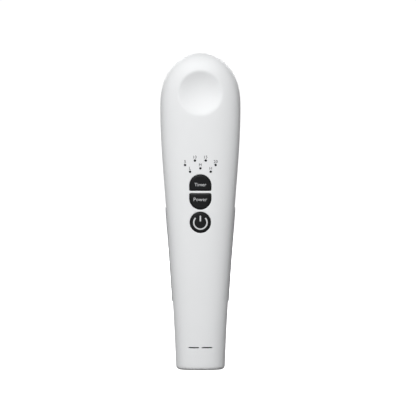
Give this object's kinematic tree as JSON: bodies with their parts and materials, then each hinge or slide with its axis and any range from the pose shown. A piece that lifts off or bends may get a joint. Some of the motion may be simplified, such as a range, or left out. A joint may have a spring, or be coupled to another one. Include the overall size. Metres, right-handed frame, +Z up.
{
  "type": "ultrasound therapy device",
  "caption": "Slim wand-shaped hand-held ultrasound therapy device: tapered two-shell casing, dished finger rest, press keys with indicator lights, and a round metal treatment head on the back.",
  "frame": {"origin": "on the flat end face that the device stands on, at the rear shell's front edge near the parting line, below the middle of the handle", "axes": "+Z up the handle to the head, -Y out of the face with the keys, +Y out of the treatment head"},
  "size_m": [0.0566, 0.0541, 0.225],
  "materials": {
    "casing_white": "satin moulded",
    "key_black": "satin moulded",
    "grip_grey": "matt overmoulded",
    "seal_grey": "matt",
    "gasket_black": "matt",
    "smoked_clear": "polished",
    "head_aluminium": "fine turned",
    "screw_steel": "plated",
    "label_silver": "matt film",
    "print_white": "pad print",
    "print_grey": "pad print",
    "board_green": "solder mask",
    "part_black": "moulded",
    "resin_white": "moulded",
    "contact_brass": "stamped",
    "copper": "enamelled wire",
    "crystal_ceramic": "fired, silvered",
    "lead_red": "insulated wire"
  },
  "bodies": {
    "casing": {"front_shell": "casing_white", "rear_shell": "casing_white", "grip_left": "grip_grey", "grip_right": "grip_grey", "rating_label": "label_silver", "control_board": "board_green", "buzzer": "part_black", "drive_coil_core": "part_black", "drive_coil_winding": "copper", "heat_sink": "head_aluminium", "power_transistor": "part_black", "filter_capacitor": "part_black", "microcontroller": "part_black", "lead_socket": "resin_white", "dc_jack_housing": "part_black", "dc_jack_pin": "contact_brass", "dc_jack_contact": "contact_brass", "dc_lead_positive": "lead_red", "dc_lead_negative": "part_black", "treatment_head": "head_aluminium", "head_seal_ring": "seal_grey", "head_gasket": "gasket_black", "head_retaining_ring": "part_black", "ground_ring": "contact_brass", "ultrasound_crystal": "crystal_ceramic", "crystal_holder": "part_black", "temperature_sensor": "part_black", "crystal_lead": "lead_red", "sensor_lead": "resin_white", "case_screw_1": "screw_steel", "board_screw_1": "screw_steel", "case_screw_2": "screw_steel", "board_screw_2": "screw_steel", "case_screw_3": "screw_steel", "board_screw_3": "screw_steel", "case_screw_4": "screw_steel", "board_screw_4": "screw_steel", "timer_switch": "part_black", "power_switch": "part_black", "on_off_switch": "part_black", "light_pipe_timer_5": "smoked_clear", "lamp_timer_5": "resin_white", "light_pipe_timer_10": "smoked_clear", "lamp_timer_10": "resin_white", "light_pipe_timer_15": "smoked_clear", "lamp_timer_15": "resin_white", "light_pipe_timer_20": "smoked_clear", "lamp_timer_20": "resin_white", "light_pipe_level_low": "smoked_clear", "lamp_level_low": "resin_white", "light_pipe_level_medium": "smoked_clear", "lamp_level_medium": "resin_white", "light_pipe_level_high": "smoked_clear", "lamp_level_high": "resin_white"},
    "timer_key": {"timer_key": "key_black"},
    "timer_plunger": {"timer_plunger": "screw_steel"},
    "power_key": {"power_key": "key_black"},
    "power_plunger": {"power_plunger": "screw_steel"},
    "on_off_key": {"on_off_key": "key_black"},
    "on_off_plunger": {"on_off_plunger": "screw_steel"}
  },
  "joints": [
    {"name": "timer_press", "type": "slide", "parent": "casing", "child": "timer_key", "axis": [0, 1, 0], "range_m": [0, 0.0006], "stiffness_N_per_m": 600, "springref_m": -0.0006},
    {"name": "timer_plunger_travel", "type": "slide", "parent": "casing", "child": "timer_plunger", "axis": [0, 1, 0], "range_m": [0, 0.0003]},
    {"name": "power_press", "type": "slide", "parent": "casing", "child": "power_key", "axis": [0, 1, 0], "range_m": [0, 0.0006], "stiffness_N_per_m": 600, "springref_m": -0.0006},
    {"name": "power_plunger_travel", "type": "slide", "parent": "casing", "child": "power_plunger", "axis": [0, 1, 0], "range_m": [0, 0.0003]},
    {"name": "on_off_press", "type": "slide", "parent": "casing", "child": "on_off_key", "axis": [0, 1, 0], "range_m": [0, 0.0006], "stiffness_N_per_m": 600, "springref_m": -0.0006},
    {"name": "on_off_plunger_travel", "type": "slide", "parent": "casing", "child": "on_off_plunger", "axis": [0, 1, 0], "range_m": [0, 0.0003]}
  ],
  "couplings": [
    {"joint": "timer_plunger_travel", "follows": "timer_press", "ratio": 0.5},
    {"joint": "power_plunger_travel", "follows": "power_press", "ratio": 0.5},
    {"joint": "on_off_plunger_travel", "follows": "on_off_press", "ratio": 0.5}
  ]
}
